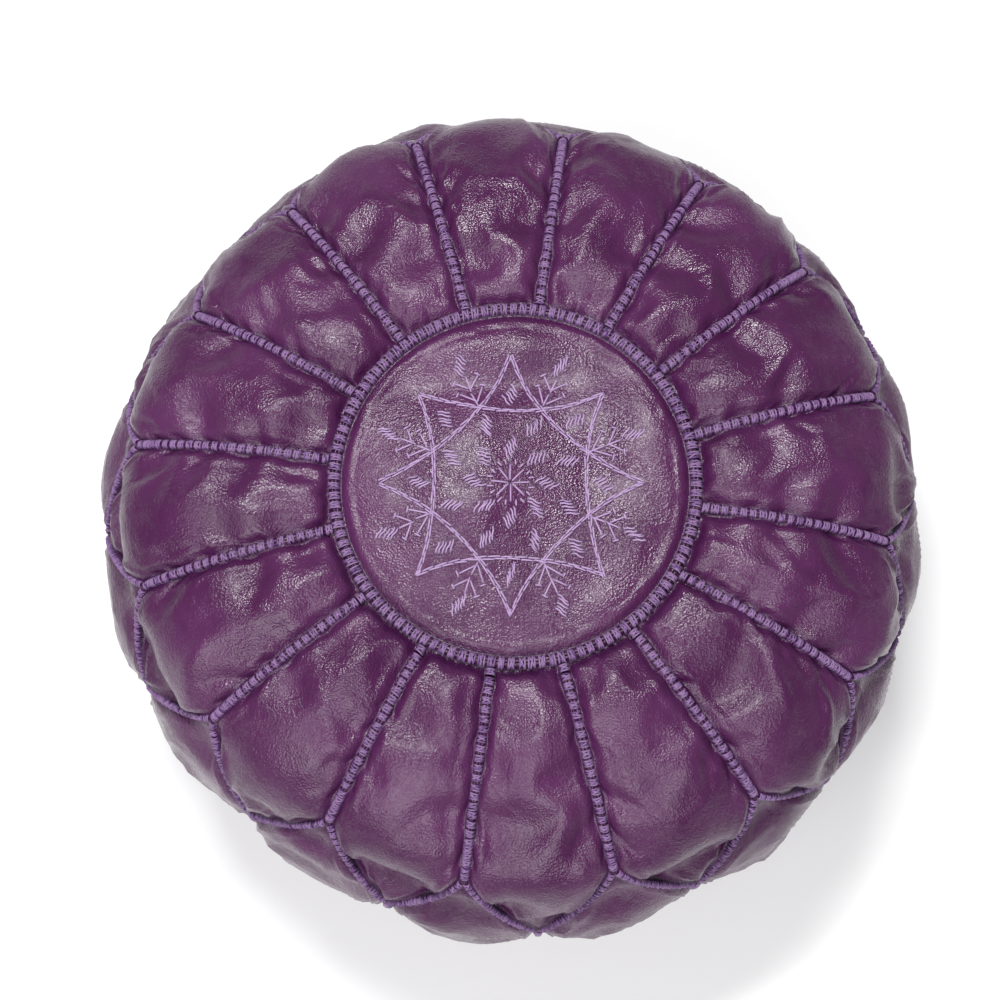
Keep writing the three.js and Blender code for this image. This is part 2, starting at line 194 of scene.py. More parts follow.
def plumLeather(name, dullness=0.0):
    finish = Finish(name)
    look = leatherLook
    # painted shade: a mark that darkens the leather to its deep colour in seam grooves, on welts and in other
    # recesses
    hollowShade = finish.mark("hollowShade")
    patches = finish.between(finish.cloud(look["patchSize"], detail=5), 0.36, 0.68)
    streaks = finish.cloud(look["streakSize"], finish.place((1, 0.35, 1), (0, 0, 0.5)), 6, 0.7, 1.5)
    grain = finish.cells(look["grainSize"], finish.place(turn=(0.3, 0.2, 0)))
    bent = finish.cloud(30 * mm, detail=3)  # where the leather has been bent most
    stray = finish.node("ShaderNodeTexNoise", {}, {"Vector": finish.place(), "Scale": 45.0}, 1)
    stray = finish.node("ShaderNodeVectorMath", {"operation": "SCALE"}, {
        0: stray, "Scale": look["creaseStray"]})
    warped = finish.node("ShaderNodeVectorMath", {"operation": "ADD"}, {0: finish.place(), 1: stray})

    def creases(size, width):
        return 1 - finish.between(finish.cells(size, warped, "DISTANCE_TO_EDGE"), 0.0, width)

    crease = creases(look["creaseSize"], 0.06) * finish.between(bent, 0.52, 0.66)
    fine = creases(look["creaseSize"] * 0.2, 0.09) * finish.between(streaks, 0.45, 0.62)
    oneWay = finish.place((1, 0.22, 1), (0.2, 0.3, 0.7), warped)
    striae = finish.cloud(look["striaeSize"], oneWay, 4, 0.6, 0.3)
    rumple = finish.cloud(look["rumpleSize"], detail=7, roughness=0.6, distortion=0.6)
    height = grain * look["grainDepth"] + rumple * look["rumpleDepth"]
    height = height - crease * look["creaseDepth"] - fine * (look["creaseDepth"] * 0.4)
    height = height + striae * finish.between(bent, 0.35, 0.6) * look["striaeDepth"]
    colour = finish.mix(patches * 0.7, look["plum"], look["worn"])
    colour = finish.mix(finish.between(streaks, 0.5, 0.75) * 0.35, colour, look["worn"])
    # painted shade in the creases
    colour = finish.mix(crease * 0.25 + fine * 0.12, colour, look["deep"])
    # painted shade in the seam grooves, on the welts and in recesses
    colour = finish.mix(hollowShade, colour, look["deep"])
    rough = patches * 0.10 + grain * 0.06 + streaks * 0.10
    rough = rough + (look["roughness"] - 0.12 + dullness) + hollowShade * 0.05
    fixed = {"Specular IOR Level": 0.42, "Coat Weight": 0.05, "Coat Roughness": 0.2}
    return finish.surface({"Base Color": colour, "Roughness": rough}, fixed, height)


threadLook = {
    "light": (0.240, 0.138, 0.290, 1),
    "silk": (0.400, 0.270, 0.460, 1),  # the finer thread of the star
    "violet": (0.090, 0.031, 0.140, 1),
    # the deep colour is painted shade, where the strands go down into the leather
    "deep": (0.025, 0.008, 0.035, 1),
    "fibreSize": 0.35 * mm,
    "fibreDepth": 0.25 * mm,
    "fleckSize": 1.6 * mm,
    "fleckDepth": 0.3 * mm,
}


def thickThread(name, light, paleness=0.0):
    finish = Finish(name)
    look = threadLook
    # painted shade and highlight along each strand, with a random tone for each
    toneAndShade = finish.mark("toneAndShade")
    fleck = finish.cloud(look["fleckSize"], detail=3)
    fibre = finish.cloud(look["fibreSize"], detail=2)
    # violet low in a bead, and a painted highlight on the tops of the strands, broken by random flecks
    colour = finish.mix(finish.between(toneAndShade + fleck * 0.9, 0.75 - paleness, 1.45), look["violet"], light)
    # painted shade where the strands go down into the leather
    colour = finish.mix(1 - finish.between(toneAndShade, 0.02, 0.45), colour, look["deep"])
    height = fibre * look["fibreDepth"] + fleck * look["fleckDepth"]
    fixed = {"Roughness": 0.6, "Sheen Weight": 0.15, "Sheen Roughness": 0.4, "Specular IOR Level": 0.22}
    return finish.surface({"Base Color": colour}, fixed, height)


def zipBrass(name):
    finish = Finish(name)
    rub = finish.cloud(2.5 * mm, detail=5)
    brush = finish.cloud(0.5 * mm, finish.place((0.15, 1, 1)), 3)
    colour = finish.mix(finish.between(rub, 0.35, 0.7), (0.36, 0.22, 0.085, 1), (0.62, 0.43, 0.19, 1))
    varying = {"Base Color": colour, "Roughness": rub * 0.25 + 0.2}
    return finish.surface(varying, {"Metallic": 1.0}, brush * (0.03 * mm))


def wovenTape(name):
    finish = Finish(name)
    twill = finish.node("ShaderNodeTexWave", {"wave_type": "BANDS", "bands_direction": "DIAGONAL"}, {
        "Vector": finish.place(), "Scale": 260.0, "Distortion": 0.4, "Detail": 1.0})
    fuzz = finish.cloud(2 * mm)
    colour = finish.mix(fuzz, (0.045, 0.014, 0.048, 1), (0.085, 0.030, 0.090, 1))
    height = twill * (0.12 * mm) + fuzz * (0.1 * mm)
    return finish.surface({"Base Color": colour}, {"Roughness": 0.85, "Sheen Weight": 0.3}, height)


def whitePaper(name):
    finish = Finish(name)
    beneath = finish.node("ShaderNodeNewGeometry", {}, {}, "Backfacing")
    colour = finish.mix(finish.cloud(0.4, detail=2) * 0.04, studio["floorColour"], (0.85, 0.85, 0.86, 1))
    shader = finish.node("ShaderNodeBsdfPrincipled", {}, {
        "Base Color": colour, "Roughness": 0.8,
        "Emission Color": (1, 1, 1, 1), "Emission Strength": studio["floorGlow"]})
    clear = finish.node("ShaderNodeBsdfTransparent")  # so that views from below see through it
    seen = finish.node("ShaderNodeMixShader", {}, {0: beneath, 1: shader, 2: clear})
    finish.node("ShaderNodeOutputMaterial", {}, {"Surface": seen})
    return finish.material


leather = plumLeather("plumLeather")
baseLeather = plumLeather("baseLeather", 0.12)
thread = thickThread("whippingThread", threadLook["light"])
silk = thickThread("embroideryThread", threadLook["silk"], 0.5)
brass = zipBrass("zipBrass")
tape = wovenTape("zipTapeWeave")


# Mesh helpers. A grid's rows run down the cover and its columns round it.

def meshOf(name, points, faces, finish, marks={}):
    mesh = bpy.data.meshes.new(name)
    mesh.vertices.add(len(points))
    mesh.vertices.foreach_set("co", np.asarray(points, np.float32).ravel())
    corners = np.concatenate([np.asarray(face).ravel() for face in faces]).astype(np.int32)
    sizes = np.concatenate([np.full(len(face), np.shape(face)[1]) for face in faces])
    mesh.loops.add(len(corners))
    mesh.loops.foreach_set("vertex_index", corners)
    mesh.polygons.add(len(sizes))
    mesh.polygons.foreach_set("loop_start", np.concatenate([[0], np.cumsum(sizes)[:-1]]).astype(np.int32))
    mesh.update(calc_edges=True)
    mesh.shade_smooth()
    for mark, values in marks.items():
        mesh.attributes.new(mark, "FLOAT", "POINT").data.foreach_set(
            "value", np.asarray(values, np.float32).ravel())
    mesh.materials.append(finish)
    piece = bpy.data.objects.new(name, mesh)
    scene.collection.objects.link(piece)
    return piece


def gridFaces(rows, columns, closed=False):
    index = np.arange(rows * columns).reshape(rows, columns)
    if closed:
        index = np.hstack([index, index[:, :1]])
    corners = (index[:-1, :-1], index[1:, :-1], index[1:, 1:], index[:-1, 1:])
    return np.stack(corners, -1).reshape(-1, 4)


def unit(vectors):
    return vectors / np.maximum(np.linalg.norm(vectors, axis=-1, keepdims=True), 1e-12)


def smooth(value, low, high):
    share = np.clip((value - low) / (high - low), 0, 1)
    return share * share * (3 - 2 * share)


def lumps(points, size, seed):
    flat = np.asarray(points).reshape(-1, 3) / size + seed * 7.31
    return np.array([noise.noise(Vector(p)) for p in flat]).reshape(np.shape(points)[:-1])


def lengthsAlong(path):
    # how far each point of a path is from its start
    return np.concatenate([[0], np.cumsum(np.linalg.norm(np.diff(path, axis=0), axis=1))])


def squareTo(run, vectors):
    # the unit directions nearest to some vectors that stand square to run
    return unit(vectors - run * np.sum(vectors * run, -1, keepdims=True))


def smoothThrough(p0, p1, p2, p3, t):
    # from p1 at 0 to p2 at 1, in line with the points before and after
    v0, v1 = (p2 - p0) / 2, (p3 - p1) / 2
    return (2 * p1 - 2 * p2 + v0 + v1) * t**3 + (3 * p2 - 3 * p1 - 2 * v0 - v1) * t**2 + v0 * t + p1


# The cover's shape, shared by the panels, the stitches and the stuffing.

medallionLow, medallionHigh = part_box("medallion")

cover = {
    "panels": 16,  # petals round the top, and side panels below them
    "firstSeam": math.radians(15.1),
    "fork": 0.341,  # stations down the section, from 0 at the medallion to 1 at the base
    "low": 5 / 9,  # where a side seam meets the zigzag; the fork is where a petal's seam does
    "puff": 4.5 * mm,  # how far a panel's middle stands out past its seams
    "puffReach": 15 * mm,
    # waves round the cover: how many, mm, degrees
    "outOfRound": ((2, 2.0, -119), (3, 1.8, -73), (4, 1.8, 64), (5, 1.4, -128), (7, 0.8, 20)),
    "upAndDown": ((2, 1.5, 40), (3, 1.2, 160), (5, 1.2, -30)),
    "seamsAstray": ((3, 0.30, 80), (4, 0.25, -115), (5, 0.42, -55)),  # waves round, degrees, degrees
    "seed": 11,
}
sectionPoints = np.array([  # radius and height of the seams, from the medallion's edge to the base's
    (110, 281), (152, 282), (194, 273), (231, 254), (249, 226),
    (259, 195), (262, 150), (258, 100), (245, 50), (222, 16)]) * mm
panelTurn = 2 * math.pi / cover["panels"]


def section(station):
    place = np.clip(station, 0, 1) * (len(sectionPoints) - 1)
    first = np.minimum(place.astype(int), len(sectionPoints) - 2)
    near = [sectionPoints[np.clip(first + k, 0, len(sectionPoints) - 1)] for k in (-1, 0, 1, 2)]
    return smoothThrough(*near, (place - first)[..., None])


coverLength = lengthsAlong(section(np.linspace(0, 1, 400)))[-1]


def zigzag(angle):
    turn = np.mod((angle - cover["firstSeam"]) / panelTurn, 1)
    return cover["fork"] + (cover["low"] - cover["fork"]) * (1 - np.abs(2 * turn - 1))


def coverAt(angle, station, handmade=True):
    # places and outward normals at angles round the cover and stations down it
    angle, station = np.broadcast_arrays(np.asarray(angle, float), np.asarray(station, float))
    here = section(station)
    ahead, behind = section(np.minimum(station + 0.004, 1)), section(np.maximum(station - 0.004, 0))
    run = unit(ahead - behind)
    radius, height = here[..., 0], here[..., 1]
    if handmade:
        waves = lambda table: sum(size * np.sin(k * angle + math.radians(turn)) for k, size, turn in table)
        radius = (radius + waves(cover["outOfRound"]) * mm * smooth(station, 0, 0.4)
                  * (1 - smooth(station, 0.72, 1)))
        height = (height + waves(cover["upAndDown"]) * mm * smooth(station, 0.02, 0.3)
                  * (1 - smooth(station, 0.5, 0.95)))
        angle = angle + np.radians(waves(cover["seamsAstray"]))
    cosine, sine = np.cos(angle), np.sin(angle)
    places = np.stack([radius * cosine, radius * sine, height], -1)
    normals = np.stack([-run[..., 1] * cosine, -run[..., 1] * sine, run[..., 0]], -1)
    return places, normals


def seamDistance(angle, station, lines):
    # how far places are from the nearest of some seams, on the cover before it is made uneven
    places, _ = coverAt(angle, station, False)
    seams = np.concatenate([coverAt(a, s, False)[0] for a, s in lines])
    flat = places.reshape(-1, 3)
    nearest = np.full(len(flat), 1e9)
    for start in range(0, len(seams), 200):
        gap = np.linalg.norm(flat[:, None] - seams[None, start:start + 200], axis=-1)
        nearest = np.minimum(nearest, gap.min(1))
    return nearest.reshape(places.shape[:-1])


def panelSeams(kind, middle):
    # the lines round a panel: its curved end, its sides, and its zigzag
    turn = np.linspace(-0.5, 0.5, 160) * panelTurn + middle
    if kind == "petal":
        end, down = 0, np.linspace(0, cover["fork"], 220)
    else:
        end, down = 1, np.linspace(cover["low"], 1, 320)
    sides = [(middle - panelTurn / 2, down), (middle + panelTurn / 2, down)]
    return {"ring": [(turn, 0 * turn + end)], "sides": sides, "zigzag": [(turn, zigzag(turn))]}


def puff(distance):
    return cover["puff"] * (1 - np.exp(-distance / cover["puffReach"]))


# The cover's leather, blown up by its stuffing and a little too big for its seams, as cloth.

cloth = {
    "columns": 16,  # in each panel
    "petalRows": 24,
    "sideRows": 26,
    "frames": 24,
    "pressure": 1.6,
    "growth": 0.055,  # how much too big the leather is
    "bending": 6.0,
    "mostMove": 8 * mm,
}


def coarseCover():
    rows = cloth["petalRows"] + cloth["sideRows"]
    columns = cloth["columns"] * cover["panels"]
    angle = cover["firstSeam"] + np.arange(columns) / columns * 2 * math.pi
    row = np.arange(rows + 1)[:, None]
    low = zigzag(angle)[None]
    upper = low * row / cloth["petalRows"]
    lower = low + (1 - low) * (row - cloth["petalRows"]) / cloth["sideRows"]
    station = np.where(row <= cloth["petalRows"], upper, lower)
    angle = np.broadcast_to(angle, station.shape)
    within = np.arange(columns) % cloth["columns"]
    pinned = np.zeros(station.shape, bool)
    pinned[[0, cloth["petalRows"], rows]] = True
    pinned[:cloth["petalRows"], within == 0] = True
    pinned[cloth["petalRows"]:, within == cloth["columns"] // 2] = True
    distance = np.zeros(station.shape)
    one = slice(0, cloth["columns"])  # the panels are alike until the cover is made uneven
    firstSeam = cover["firstSeam"]
    for part, kind, middle in ((slice(0, cloth["petalRows"] + 1), "petal", firstSeam + panelTurn / 2),
                               (slice(cloth["petalRows"], rows + 1), "side", firstSeam)):
        lines = panelSeams(kind, middle)
        turned = angle[part, one]
        if kind == "side":
            turned = firstSeam + np.mod(turned - firstSeam + panelTurn / 2, panelTurn) - panelTurn / 2
        found = seamDistance(turned, station[part, one], lines["ring"] + lines["sides"] + lines["zigzag"])
        distance[part] = np.tile(found, (1, cover["panels"]))
    places, normals = coverAt(angle, station)
    return places, normals, np.where(pinned, 0, distance), pinned


def settleCover():
    # how far each point of the coarse cover moves from its seam surface
    places, normals, distance, pinned = coarseCover()
    start = places + normals * puff(distance)[..., None]
    uneven = lumps(start, 24 * mm, 3) * 1.5 * mm + lumps(start, 55 * mm, 5) * 2.5 * mm
    start = start + normals * (uneven * smooth(distance, 0, 12 * mm))[..., None]
    rows, columns = pinned.shape
    piece = meshOf("settling", start.reshape(-1, 3), [gridFaces(rows, columns, True)], leather)
    group = piece.vertex_groups.new(name="seams")
    group.add([int(i) for i in np.flatnonzero(pinned)], 1.0, "REPLACE")
    modifier = piece.modifiers.new("cloth", "CLOTH")
    settings = modifier.settings
    settings.quality = 6
    settings.mass = 0.3
    settings.tension_stiffness = settings.compression_stiffness = 15
    settings.shear_stiffness = 8
    settings.bending_stiffness = cloth["bending"]
    settings.use_pressure = True
    settings.uniform_pressure_force = cloth["pressure"]
    settings.shrink_min = -cloth["growth"]
    settings.vertex_group_mass = "seams"
    settings.effector_weights.gravity = 0
    modifier.collision_settings.use_collision = False
    modifier.point_cache.frame_start, modifier.point_cache.frame_end = 1, cloth["frames"]
    for step in range(1, cloth["frames"] + 1):
        scene.frame_set(step)
    ready = piece.evaluated_get(bpy.context.evaluated_depsgraph_get())
    settled = np.zeros(rows * columns * 3, np.float32)
    ready.data.vertices.foreach_get("co", settled)
    mesh = piece.data
    bpy.data.objects.remove(piece)
    bpy.data.meshes.remove(mesh)
    scene.frame_set(1)
    moved = settled.reshape(rows, columns, 3) - start
    size = np.linalg.norm(moved, axis=-1, keepdims=True)
    print(f"cloth: moved {size.mean() / mm:.1f} mm on average, {size.max() / mm:.1f} at most")
    moved = moved * np.minimum(1, cloth["mostMove"] / np.maximum(size, 1e-9))
    return start + moved - places


settled = settleCover()
print("cover: leather settled on its stuffing")


def readSettled(rows, columns, firstRow, lastRow, firstColumn, lastColumn):
    # the settled shift at fractional rows and columns of one panel, without reading past its seams
    total = settled.shape[1]
    row = np.clip(rows, firstRow, lastRow - 1e-6)
    column = np.clip(columns, firstColumn, lastColumn - 1e-6)
    r, c = np.floor(row).astype(int), np.floor(column).astype(int)
    near = (-1, 0, 1, 2)
    across = []
    for i in near:
        line = np.clip(r + i, firstRow, lastRow)
        four = [settled[line, np.mod(np.clip(c + j, firstColumn, lastColumn), total)] for j in near]
        across.append(smoothThrough(*four, (column - c)[..., None]))
    return smoothThrough(*across, (row - r)[..., None])


# Leather panels. Near its seams a panel turns up into a welt, with a groove beside it and the
# folded edge showing through as a ridge.

panel = {
    "edgeSteps": (0, 0.5, 1.1, 1.8, 2.5, 3.2, 4.2, 5.6, 7.4, 9.4, 11.4),  # mm from a seam
    "middleColumns": 18,
    "middleRows": 38,
    "halfGap": 0.12,
    "weltHeight": 2.4,
    "weltHalfWidth": 2.2,
    "grooveDepth": 1.6,
    "allowance": 9.5,  # how wide the folded edge inside is
    "ridge": 1.7,
    "foldSize": 42 * mm,
    "foldHeight": 3.0 * mm,
}


def seamShape(distance, along):
    # height in mm over the panel, from the distance to a seam and a wandering value along it
    d = distance / mm
    welt = panel["weltHeight"] * (1 - smooth(d, panel["weltHalfWidth"] - 0.9, panel["weltHalfWidth"] + 1.3))
    groove = -panel["grooveDepth"] * np.exp(-((d - 4.2) / 2.2) ** 2)
    edge = panel["allowance"] + 2.2 * along
    ridge = panel["ridge"] * (0.55 + 0.9 * along) * np.exp(-((d - edge) / 1.05) ** 2)
    step = 0.5 * (1 - smooth(d, edge - 1, edge + 1.4)) * smooth(d, 3.5, 6)
    return (welt + groove + ridge + step) * mm


def seamShade(distance):
    # how much painted shade darkens the leather: 1 in the groove and on the welt, 0 on the open leather
    d = distance / mm
    return np.clip(0.7 * np.exp(-((d - 3.4) / 2.4) ** 2) + 0.95 * (1 - smooth(d, 1.8, 3.2)), 0, 1)


def graded(half, scale, count):
    # stops from one edge to the other in shares of the whole, close together by the edges
    near = np.array(panel["edgeSteps"]) * mm * scale + panel["halfGap"] * mm * scale
    near = near[None] / (2 * half[:, None])
    start = near[:, -1:]
    middle = start + (1 - 2 * start) * np.linspace(0, 1, count + 1)[None, 1:-1]
    return np.concatenate([near, middle, 1 - near[:, ::-1]], 1)


def folds(places, seed):
    # sharp-crested folds and soft dents
    bend = np.stack([lumps(places, 60 * mm, seed + k) for k in (1, 2, 3)], -1) * 22 * mm
    crest = 1 - np.abs(lumps(places + bend, panel["foldSize"], seed)) * 3.2
    crest = np.maximum(crest, 0) ** 1.6
    strength = smooth(lumps(places, 75 * mm, seed + 9), -0.15, 0.35)
    small = 1 - np.abs(lumps(places + bend * 0.5, panel["foldSize"] * 0.5, seed + 4)) * 3.4
    small = np.maximum(small, 0) ** 1.5 * smooth(lumps(places, 45 * mm, seed + 30), 0.0, 0.4)
    dents = lumps(places, 38 * mm, seed + 20)
    return panel["foldHeight"] * (crest * strength + 1.1 * dents + 0.42 * small)


def panelGrid(kind, index):
    # a panel's points as angles and stations, and as shares u across it and v down it
    petal = kind == "petal"
    middle = cover["firstSeam"] + (index + (0.5 if petal else 0)) * panelTurn
    half = section(np.array([0.18 if petal else 0.75]))[:, 0] * panelTurn / 2
    across = graded(half, 1, panel["middleColumns"])[0]
    share = np.abs(2 * across - 1)
    reach = np.where(petal, cover["low"] + (cover["fork"] - cover["low"]) * share,
                     1 - (cover["fork"] + (cover["low"] - cover["fork"]) * share))
    v = graded(reach * coverLength / 2, 1.25, panel["middleRows"]).T
    # the columns by a side seam keep the same distance from it all the way down
    widths = section(v * reach[None] if petal else (1 - reach[None]) + v * reach[None])[..., 0] * panelTurn
    near = np.minimum(across, 1 - across)[None]
    fixedShare = near * (2 * half[0]) / widths
    edge = panel["edgeSteps"][-1] * mm / widths
    startShare = across[len(panel["edgeSteps"]) - 1]
    inner = edge + (0.5 - edge) * (near - startShare) / (0.5 - startShare)
    placed = np.where(near <= startShare, fixedShare, inner)
    u = np.where(across[None] <= 0.5, placed, 1 - placed)
    angle = middle + (u - 0.5) * panelTurn
    level = zigzag(angle)
    station = v * level if petal else level + (1 - level) * v
    lines = panelSeams(kind, middle)
    return angle, station, u, v, [seamDistance(angle, station, lines[k]) for k in ("ring", "sides", "zigzag")]


def makePanel(kind, index):
    petal = kind == "petal"
    angle, station, u, v, (toRing, toSides, toZigzag) = panelGrid(kind, index)
    distance = np.minimum(np.minimum(toRing, toSides), toZigzag)
    perPanel = cloth["columns"]
    firstColumn = index * perPanel - (0 if petal else perPanel // 2)
    firstRow, lastRow = (0, cloth["petalRows"]) if petal else (
        cloth["petalRows"], cloth["petalRows"] + cloth["sideRows"])
    shift = readSettled(firstRow + v * (lastRow - firstRow), firstColumn + u * perPanel,
                        firstRow, lastRow, firstColumn, firstColumn + perPanel)
    base, normals = coverAt(angle, station)
    places = base + shift * (1 if petal else 0.7)
    wander = lumps(base, 13 * mm, 31)
    pucker = lumps(base, 7 * mm, 37) * 0.8 * mm * np.exp(-np.maximum(distance - 4 * mm, 0) / (9 * mm))
    shape = seamShape(distance, wander) + pucker * smooth(distance, 2.5 * mm, 5 * mm)
    tautness = 1 if petal else 0.75
    shape = shape + folds(base, 50 + (0 if petal else 13)) * tautness * smooth(distance, 3 * mm, 22 * mm)
    hollowShade = seamShade(distance)
    if petal:
        south = 0.5 - 0.5 * np.sin(angle)  # on this side the ring's welt leans over the petals: a deeper groove, and more painted shadow
        shape = shape - (1.3 + 2.4 * south) * mm * np.exp(-((toRing / mm - 6.0) / 3.8) ** 2)
        # painted shadow of the ring's welt on the petals next to it, wider and darker on the south side, away
        # from the key light
        hollowShade = np.maximum(hollowShade, (0.35 + 0.6 * south) * np.exp(-(toRing / mm / (6.5 + 3 * south)) ** 4))
    if not petal:
        drawn = 1 - np.abs(lumps(base * [0.30, 0.30, 1.3], 17 * mm, 61)) * 3
        shape = shape + np.maximum(drawn, 0) ** 1.5 * 1.1 * mm * smooth(distance, 4 * mm, 20 * mm)
    places = places + normals * shape[..., None]
    # a skirt turned in round the edge, so that no gap shows between panels
    ring = np.pad(places, ((1, 1), (1, 1), (0, 0)), mode="edge")
    inward = np.pad(normals, ((1, 1), (1, 1), (0, 0)), mode="edge") * 5 * mm
    border = np.zeros(ring.shape[:2], bool)
    border[[0, -1]] = border[:, [0, -1]] = True
    ring[border] -= inward[border]
    hollowShade = np.pad(hollowShade, 1, mode="edge")
    name = f"{'petalLeather' if petal else 'sideLeather'}{index + 1:02d}"
    piece = meshOf(name, ring.reshape(-1, 3), [gridFaces(*ring.shape[:2])], leather, {"hollowShade": hollowShade})
    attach(piece, "pouf")
    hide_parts(f"{'top_petal' if petal else 'side_panel'}_{index + 1:02d}")
    return piece


for index in range(cover["panels"]):
    makePanel("petal", index)
    makePanel("side", index)
print("cover: petals and side panels made")


# The medallion, with the same turned-up edge.

medallion = {
    "rim": medallionHigh.x + 0.6 * mm,
    "rings": 56,
    "spokes": 288,
    "crown": 3 * mm,
    # how its stuffing has settled: middle, width and depth of each rise or dip, in mm
    "settling": ((-20, 61, 60, 14, -5.4), (0, 88, 60, 10, 1.8),
                 (-35, -20, 44, 38, 4.8), (58, 5, 26, 40, -3.0)),
}


def medallionHeight(x, y):
    radius = np.hypot(x, y)
    places = np.stack([x, y, 0 * x], -1)
    inside = medallion["rim"] - radius
    rise = (medallion["crown"] * (1 - (radius / medallion["rim"]) ** 2)
            + 3.2 * mm * (1 - np.exp(-inside / (16 * mm))))
    soft = lumps(places, 60 * mm, 71) * 3.4 * mm + lumps(places, 24 * mm, 72) * 1.4 * mm
    crest = np.maximum(1 - np.abs(lumps(places, 48 * mm, 77)) * 4, 0) ** 1.6
    soft = soft + crest * 1.0 * mm * smooth(lumps(places, 60 * mm, 78), 0, 0.35)
    for atX, atY, wide, deep, high in medallion["settling"]:
        soft = soft + high * mm * np.exp(-((x / mm - atX) / wide) ** 2 - ((y / mm - atY) / deep) ** 2)
    wander = lumps(places, 13 * mm, 33)
    pucker = lumps(places, 8 * mm, 37) * 0.7 * mm * np.exp(-np.maximum(inside - 4 * mm, 0) / (8 * mm))
    shape = seamShape(inside, wander) + (soft + pucker) * smooth(inside, 3 * mm, 18 * mm)
    return medallionLow.z + 2 * mm + rise + shape


def makeMedallion():
    steps = (np.array(panel["edgeSteps"]) + panel["halfGap"]) * mm
    inner = np.linspace(0.0008, medallion["rim"] - steps[-1], medallion["rings"])[:-1]
    radii = np.concatenate([inner, medallion["rim"] - steps[::-1]])
    turn = np.arange(medallion["spokes"]) / medallion["spokes"] * 2 * math.pi
    x, y = radii[:, None] * np.cos(turn), radii[:, None] * np.sin(turn)
    places = np.stack([x, y, medallionHeight(x, y)], -1)
    skirt = places[-1:] - np.array([0, 0, 5 * mm])
    # painted shade in the groove and on the welt by the rim
    hollowShade = seamShade(medallion["rim"] - radii)
    hollowShade = np.broadcast_to(hollowShade[:, None], x.shape)
    places = np.concatenate([places, skirt])
    hollowShade = np.concatenate([hollowShade, hollowShade[-1:]])
    rows, columns = places.shape[:2]
    middle = np.append(places[0].mean(0), 0)[:3]
    points = np.vstack([places.reshape(-1, 3), middle])
    marks = np.append(hollowShade.ravel(), 0)
    first = np.arange(columns)
    fan = np.stack([np.full(columns, rows * columns), first, np.roll(first, -1)], -1)
    faces = [gridFaces(rows, columns, True), fan]
    piece = meshOf("medallionLeather", points, faces, leather, {"hollowShade": marks})
    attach(piece, "pouf")
    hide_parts("medallion")


makeMedallion()
print("medallion: made")


# Thread. Every strand is a tube along a path of a few points, thin at both ends.

def tubeFaces(shape):
    # the walls and both ends of tubes, for points in tubes by rings by sides
    index = np.arange(np.prod(shape)).reshape(shape)
    ahead = np.roll(index, -1, 2)
    walls = np.stack([index[:, :-1], ahead[:, :-1], ahead[:, 1:], index[:, 1:]], -1).reshape(-1, 4)
    return [walls, index[:, 0, ::-1], index[:, -1]]


def tubes(paths, across, radius, sides=6, ends=0.45):
    # paths: strands by points by 3; across: a direction for each strand that its path keeps clear of
    run = unit(np.gradient(paths, axis=1))
    first = squareTo(run, across[:, None])
    second = np.cross(run, first)
    taper = np.ones(paths.shape[1])
    taper[[0, -1]] = ends
    size = radius * taper[None, :, None]
    turn = np.arange(sides) / sides * 2 * math.pi
    ring = (np.cos(turn)[:, None] * first[:, :, None] + np.sin(turn)[:, None] * second[:, :, None])
    points = paths[:, :, None] + ring * size[..., None]
    return points.reshape(-1, 3), tubeFaces(points.shape[:3])


def stitched(name, strands, finish, nodes, radius, sides=6):
    # strands: a list of (paths, across, tone and painted shade) batches with the same number of points
    paths = np.concatenate([s[0] for s in strands])
    across = np.concatenate([s[1] for s in strands])
    toneAndShade = np.concatenate([s[2] for s in strands])
    points, faces = tubes(paths, across, radius, sides)
    piece = meshOf(name, points, faces, finish, {"toneAndShade": np.repeat(toneAndShade.reshape(-1), sides)})
    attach(piece, "pouf")
    if nodes:
        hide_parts(*nodes)


def alongSeam(angle, station, pitch, gaps=(0.0, 0.0), crowd=(0.0, 1.0), closed=False, lift=0.0):
    # evenly spaced places along a seam, with the directions along it and away from the leather.
    # crowd is how long a stretch at its end has closer beads, and how much closer
    places, normals = coverAt(angle, station)
    places = places + normals * lift
    length = lengthsAlong(places)
    start, end = gaps[0], length[-1] - gaps[1]
    dense = np.where(length > end - crowd[0], 1 / crowd[1], 1.0)
    worth = np.interp(length, length, np.concatenate([[0], np.cumsum(np.diff(length) * dense[1:])]))
    first, last = np.interp([start, end], length, worth)
    count = max(2, round((last - first) / pitch))
    share = (np.arange(count) + (0 if closed else 0.5)) / count
    at = np.interp(first + share * (last - first), worth, length)
    pick = lambda values, where: np.stack([np.interp(where, length, values[:, k]) for k in range(3)], -1)
    centre = pick(places, at)
    if closed:
        run = unit(np.roll(centre, -1, 0) - np.roll(centre, 1, 0))
    else:
        run = unit(pick(places, at + 0.5 * mm) - pick(places, at - 0.5 * mm))
    return centre, run, squareTo(run, unit(pick(normals, at)))


chance = np.random.default_rng(cover["seed"])


